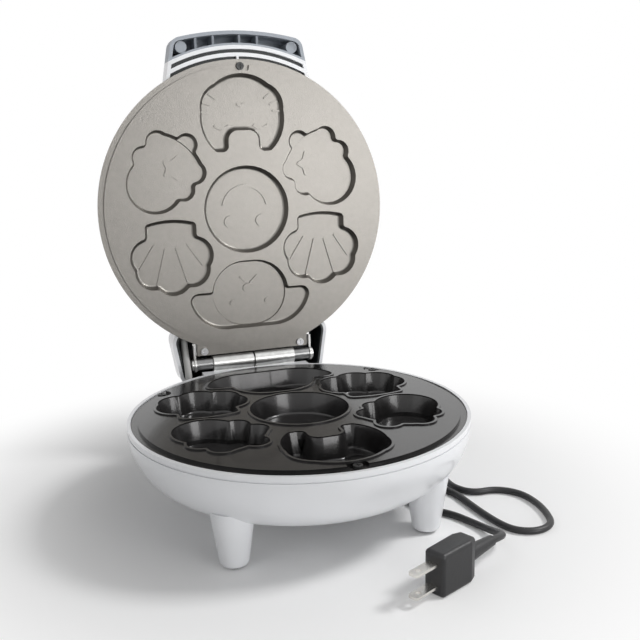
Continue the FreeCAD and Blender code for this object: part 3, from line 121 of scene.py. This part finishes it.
def finish_of(name, colour, roughness, metal=0.0, mottle=0.04, mottle_size=120.0, grain=0.0, grain_size=900.0,
              coat=0.0, rough_spread=0.05, clear=0.0):
    """Moulded or metal finish: colour with slight mottling, uneven gloss and a fine surface grain."""
    material = bpy.data.materials.new(name)
    material.use_nodes = True
    tree = material.node_tree
    shader = tree.nodes["Principled BSDF"]
    place = tree.nodes.new("ShaderNodeTexCoord")
    cloud = tree.nodes.new("ShaderNodeTexNoise")
    cloud.inputs["Scale"].default_value = mottle_size
    cloud.inputs["Detail"].default_value = 4.0
    tree.links.new(place.outputs["Object"], cloud.inputs["Vector"])
    shade = tree.nodes.new("ShaderNodeValToRGB")
    low = [channel * (1 - mottle) for channel in colour]
    high = [min(1.0, channel * (1 + mottle)) for channel in colour]
    shade.color_ramp.elements[0].color = (*low, 1)
    shade.color_ramp.elements[1].color = (*high, 1)
    shade.color_ramp.elements[0].position = 0.3
    shade.color_ramp.elements[1].position = 0.7
    tree.links.new(cloud.outputs["Fac"], shade.inputs["Fac"])
    tree.links.new(shade.outputs["Color"], shader.inputs["Base Color"])
    gloss = tree.nodes.new("ShaderNodeMapRange")
    gloss.inputs["To Min"].default_value = max(0.02, roughness - rough_spread)
    gloss.inputs["To Max"].default_value = min(1.0, roughness + rough_spread)
    tree.links.new(cloud.outputs["Fac"], gloss.inputs["Value"])
    tree.links.new(gloss.outputs["Result"], shader.inputs["Roughness"])
    shader.inputs["Metallic"].default_value = metal
    shader.inputs["Coat Weight"].default_value = coat
    shader.inputs["Coat Roughness"].default_value = 0.08
    shader.inputs["Transmission Weight"].default_value = clear
    if grain:
        speck = tree.nodes.new("ShaderNodeTexNoise")
        speck.inputs["Scale"].default_value = grain_size
        speck.inputs["Detail"].default_value = 3.0
        tree.links.new(place.outputs["Object"], speck.inputs["Vector"])
        bump = tree.nodes.new("ShaderNodeBump")
        bump.inputs["Strength"].default_value = grain
        bump.inputs["Distance"].default_value = 0.0002
        tree.links.new(speck.outputs["Fac"], bump.inputs["Height"])
        tree.links.new(bump.outputs["Normal"], shader.inputs["Normal"])
    return material


def dress(material, *names):
    """Gives CAD nodes their finish."""
    for name in names:
        slots = nodes[name].data.materials
        if len(slots):
            for number in range(len(slots)):
                slots[number] = material
        else:
            slots.append(material)


cord_vinyl = finish_of("cord_vinyl", (0.012, 0.012, 0.013), 0.42, grain=0.25, grain_size=1500)
mains_cord = nurbs_tube("mains_cord", route, CORD_RADIUS)
mains_cord.data.materials.append(cord_vinyl)
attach(mains_cord, "base")
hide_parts("cord_rear", "cord_coil", "cord_front")

# ---------------------------------------------------------------- plug and gland
# The plug is moulded on the cord in the same black vinyl, a little rougher where it is gripped, with two
# flat nickel-plated blades. The gland holds the cord where it leaves the base.
plug_vinyl = finish_of("plug_vinyl", (0.010, 0.010, 0.011), 0.42, grain=0.5, grain_size=1300)
dress(plug_vinyl, "plug_relief", "plug_body", "cord_gland")
blade_nickel = finish_of("blade_nickel", (0.72, 0.70, 0.66), 0.24, metal=1.0, mottle=0.08, grain=0.15)
dress(blade_nickel, "plug_blade_low", "plug_blade_high")

# ---------------------------------------------------------------- base shell and feet
# One glossy white moulding with its four hollow legs; soft black rubber discs stand out under the legs.
white_gloss = finish_of("white_gloss", (0.80, 0.81, 0.83), 0.28, mottle=0.008, mottle_size=60, grain=0.02,
                        grain_size=700, coat=0.35, rough_spread=0.01)
dress(white_gloss, "base_shell", "lid_shell")
foot_rubber = finish_of("foot_rubber", (0.03, 0.03, 0.03), 0.75, grain=0.6)
dress(foot_rubber, "foot_pad_1", "foot_pad_2", "foot_pad_3", "foot_pad_4", "stop_pad_left", "stop_pad_right")

# ---------------------------------------------------------------- cooking plates
# Cast aluminium with the same black non-stick coat on both plates, with the faint pebble of a sprayed coat, glossy
# on the base's plate. The lid's plate has a lighter grey, more metallic satin copy of the coat: painted light, for
# the front lamp's light that its face catches.
lower_coat = finish_of("lower_coat", (0.016, 0.015, 0.015), 0.22, metal=0.2, mottle=0.25, mottle_size=200,
                       grain=0.3, grain_size=1400, coat=0.3)
dress(lower_coat, "lower_plate")
# Lighter grey, more metallic copy of the black coat on the lid's plate: painted light.
upper_coat = finish_of("upper_coat", (0.21, 0.20, 0.185), 0.33, metal=0.9, mottle=0.05, mottle_size=260, grain=0.5,
                       grain_size=1600)
dress(upper_coat, "upper_plate")

# ---------------------------------------------------------------- screws and hinge
# Zinc-plated pan-head screws; the hinge is rolled and bent steel strip on a turned pin, brushed lengthways.
bright_zinc = finish_of("bright_zinc", (0.55, 0.55, 0.56), 0.3, metal=1.0, mottle=0.08)
dress(bright_zinc, *[name for name in nodes if "screw" in name and "lower_plate" not in name])
dark_screw = finish_of("dark_screw", (0.05, 0.05, 0.05), 0.4, metal=0.9, mottle=0.1)
dress(dark_screw, "lower_plate_screw_1", "lower_plate_screw_2", "lower_plate_screw_3", "upper_plate_screw_1")
hinge_steel = finish_of("hinge_steel", (0.52, 0.52, 0.51), 0.33, metal=1.0, mottle=0.1, mottle_size=300, grain=0.3)
dress(hinge_steel, "base_hinge_bracket", "lid_hinge_bracket", "hinge_pin", "pin_clip")
# Darker steel on the hinge collars: painted shade, standing in for the shaded gaps at the ends of the barrel.
collar_painted_shade = finish_of("collar_painted_shade", (0.24, 0.24, 0.24), 0.3, metal=1.0, mottle=0.12, grain=0.2)
dress(collar_painted_shade, "hinge_collar_left", "hinge_collar_right")

# ---------------------------------------------------------------- handle, dark strips and hood liner
# The grip is given a satin grey-blue: painted shade, for the shade inside the handle's hollow, ribbed underside. The
# strips in the handle's slots and the liner of the hinge hood are satin black, with a hint of green: painted shade,
# dark pieces that stand in for the shade in the slots and inside the hood.
# Grey-blue on the grip: painted shade.
grip_painted_shade = finish_of("grip_painted_shade", (0.36, 0.39, 0.43), 0.45, mottle=0.04, grain=0.4, grain_size=1100)
dress(grip_painted_shade, "handle_grip")
# Near-black on the slot liners and the hood liner: painted shade, for the shade in the slots and inside the white
# hood.
liner_painted_shade = finish_of("liner_painted_shade", (0.010, 0.013, 0.014), 0.42, mottle=0.1, grain=0.35, grain_size=900)
dress(liner_painted_shade, "slot_liner_inner", "slot_liner_outer", "hood_liner")

# ---------------------------------------------------------------- lamps
# Two clear moulded lenses pressed into holes in the lid, red for power and green for ready. Each is lit
# from behind by a small lamp on the board.
dress(finish_of("red_lens", (0.45, 0.02, 0.015), 0.12, clear=0.3, mottle=0.05), "power_lamp")
dress(finish_of("green_lens", (0.02, 0.32, 0.06), 0.12, clear=0.3, mottle=0.05), "ready_lamp")

# ---------------------------------------------------------------- heaters, shields and electrical pieces
# Steel-sheathed heaters darkened by heat and thin aluminium shields, screwed under each plate. The
# thermostat, fuse, terminal block and lamp board are heat-proof mouldings, and the leads are sleeved.
heat_dark = finish_of("heat_dark", (0.20, 0.18, 0.16), 0.5, metal=1.0, mottle=0.2, grain=0.4)
dress(heat_dark, "lower_element", "upper_element")
mill_sheet = finish_of("mill_sheet", (0.75, 0.75, 0.76), 0.35, metal=1.0, mottle=0.05, grain=0.15)
dress(mill_sheet, "lower_heat_shield", "upper_heat_shield")
heat_proof = finish_of("heat_proof", (0.45, 0.38, 0.28), 0.6, mottle=0.08, grain=0.4)
dress(heat_proof, "thermostat", "thermal_fuse", "terminal_block", "lamp_board")
sleeve_grey = finish_of("sleeve_grey", (0.42, 0.42, 0.41), 0.6, mottle=0.06, grain=0.8, grain_size=2200)
dress(sleeve_grey, "upper_lead", "mains_lead", "element_lead_left", "element_lead_right")

# ---------------------------------------------------------------- lead between base and lid
# Braided light-grey sleeve over the lid's supply wires, beside the hinge. It runs through one hole in the base's
# shell and one in the lid's, and is made as one fixed shape.
LEAD_RADIUS = 0.0025
lead_points = [base_axis + Vector(point) / 1000 for point in
               ((-50, 88, 50), (-50, 101, 50), (-50, 107, 58), (-50, 108.5, 70), (-50, 119, 82), (-50, 121.3, 93.2))]
lead_curve = nurbs_tube("lid_lead_line", lead_points, LEAD_RADIUS)
lid_lead_sleeve = bpy.data.objects.new("lid_lead_sleeve", bpy.data.meshes.new_from_object(
    lead_curve.evaluated_get(bpy.context.evaluated_depsgraph_get())))
bpy.context.collection.objects.link(lid_lead_sleeve)
bpy.data.objects.remove(lead_curve)
lid_lead_sleeve.data.materials.clear()
lid_lead_sleeve.data.materials.append(sleeve_grey)
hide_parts("lid_lead")
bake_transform(lid_lead_sleeve)

# ---------------------------------------------------------------- floor and light
# A pale floor that fades to white away from the maker, in a white surround. A small soft lamp stands high
# on the right, a larger one low in front, which the lid's plate mirrors, and a weak one on the left.
FLOOR_RADIUS = 6.0
FADE_FROM, FADE_TO = 0.10, 0.30
SURROUND_LIGHT = 0.28
bpy.ops.mesh.primitive_circle_add(vertices=96, radius=FLOOR_RADIUS, fill_type="NGON", location=(0, 0, 0))
floor = bpy.context.object
floor.name = "floor"


def direct_view(tree):
    """Node that is 1 for rays from the camera, from a gloss or through glass, and 0 for the rest."""
    path = tree.nodes.new("ShaderNodeLightPath")
    total = path.outputs["Is Camera Ray"]
    for kind in ("Is Glossy Ray", "Is Transmission Ray"):
        larger = tree.nodes.new("ShaderNodeMath")
        larger.operation = "MAXIMUM"
        tree.links.new(total, larger.inputs[0])
        tree.links.new(path.outputs[kind], larger.inputs[1])
        total = larger.outputs["Value"]
    return total


floor_paint = bpy.data.materials.new("floor_paint")
floor_paint.use_nodes = True
tree = floor_paint.node_tree
paint = tree.nodes["Principled BSDF"]
paint.inputs["Base Color"].default_value = (0.94, 0.94, 0.94, 1)
paint.inputs["Roughness"].default_value = 0.9
white = tree.nodes.new("ShaderNodeEmission")
place = tree.nodes.new("ShaderNodeTexCoord")
distance = tree.nodes.new("ShaderNodeVectorMath")
distance.operation = "LENGTH"
tree.links.new(place.outputs["Object"], distance.inputs[0])
fade = tree.nodes.new("ShaderNodeMapRange")
fade.interpolation_type = "SMOOTHSTEP"
fade.inputs["From Min"].default_value = FADE_FROM
fade.inputs["From Max"].default_value = FADE_TO
tree.links.new(distance.outputs["Value"], fade.inputs["Value"])
seen_fade = tree.nodes.new("ShaderNodeMath")
seen_fade.operation = "MULTIPLY"
tree.links.new(fade.outputs["Result"], seen_fade.inputs[0])
tree.links.new(direct_view(tree), seen_fade.inputs[1])
blend = tree.nodes.new("ShaderNodeMixShader")
tree.links.new(seen_fade.outputs["Value"], blend.inputs["Fac"])
tree.links.new(paint.outputs["BSDF"], blend.inputs[1])
tree.links.new(white.outputs["Emission"], blend.inputs[2])
tree.links.new(blend.outputs["Shader"], tree.nodes["Material Output"].inputs["Surface"])
floor.data.materials.append(floor_paint)
world = bpy.data.worlds.new("surround")
bpy.context.scene.world = world
world.use_nodes = True
tree = world.node_tree
background = tree.nodes["Background"]
background.inputs["Color"].default_value = (1, 1, 1, 1)
level = tree.nodes.new("ShaderNodeMapRange")
level.inputs["To Min"].default_value = SURROUND_LIGHT
level.inputs["To Max"].default_value = 1.0
tree.links.new(direct_view(tree), level.inputs["Value"])
tree.links.new(level.outputs["Result"], background.inputs["Strength"])


def soft_lamp(name, place, aim, width, power):
    """Square soft lamp that faces a point."""
    light = bpy.data.lights.new(name, "AREA")
    light.size = width
    light.energy = power
    lamp = bpy.data.objects.new(name, light)
    lamp.location = place
    lamp.rotation_euler = (Vector(aim) - Vector(place)).to_track_quat("-Z", "Y").to_euler()
    bpy.context.collection.objects.link(lamp)


soft_lamp("key", (0.85, -0.35, 1.0), (0, 0, 0.12), 0.3, 9.0)
soft_lamp("front", (0.65, -1.45, 0.16), (0, 0.1, 0.18), 0.8, 10.0)
soft_lamp("left", (-1.2, -0.5, 0.5), (0, 0, 0.08), 0.9, 1.0)
